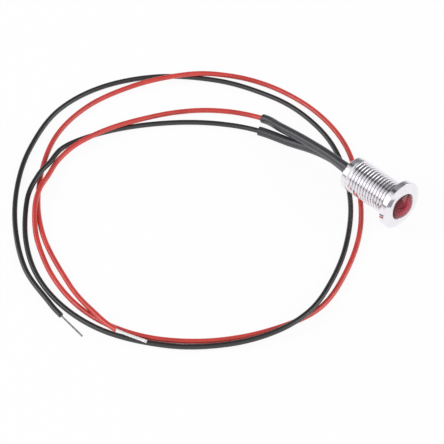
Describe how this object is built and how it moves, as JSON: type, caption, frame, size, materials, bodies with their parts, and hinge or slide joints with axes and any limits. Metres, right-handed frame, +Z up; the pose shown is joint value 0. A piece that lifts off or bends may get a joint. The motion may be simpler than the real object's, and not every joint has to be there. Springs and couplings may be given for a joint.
{
  "type": "panel mount indicator light",
  "caption": "Small round indicator light with a threaded chromed housing, a domed red lens in a chamfered flange, and a red and a black lead in dark sleeves with bare tinned ends.",
  "frame": {"origin": "on the surface that the part lies on, under the middle of its housing", "axes": "+Y along the housing from the lens to the leads, +X to the right seen from the lens side, +Z up from the surface"},
  "size_m": [0.1081, 0.1089, 0.014],
  "materials": {
    "housing": "polished chrome plating",
    "lens": "clear red plastic, glossy",
    "seal": "matte",
    "led": "red epoxy, glossy",
    "legs": "tin plated",
    "holder": "matte black",
    "potting": "cast black resin",
    "resistor": "lacquered tan",
    "solder": "bright solder",
    "tinned": "tinned copper strands",
    "red_insulation": "satin PVC",
    "black_insulation": "satin PVC",
    "sleeve": "matte shrink tubing"
  },
  "bodies": {
    "root": {"housing": "housing", "lens": "lens", "lens_seal": "seal", "led_body": "led", "led_chip": "legs", "led_anode": "legs", "led_cathode": "legs", "led_holder": "holder", "potting": "potting", "resistor_body": "resistor", "resistor_wire_in": "tinned", "resistor_wire_out": "tinned", "joint_led_resistor": "solder", "joint_resistor_wire": "solder", "joint_led_wire": "solder", "red_core": "tinned", "red_wire": "red_insulation", "red_tip": "tinned", "red_sleeve": "sleeve", "black_core": "tinned", "black_wire": "black_insulation", "black_tip": "tinned", "black_sleeve": "sleeve"}
  },
  "joints": []
}
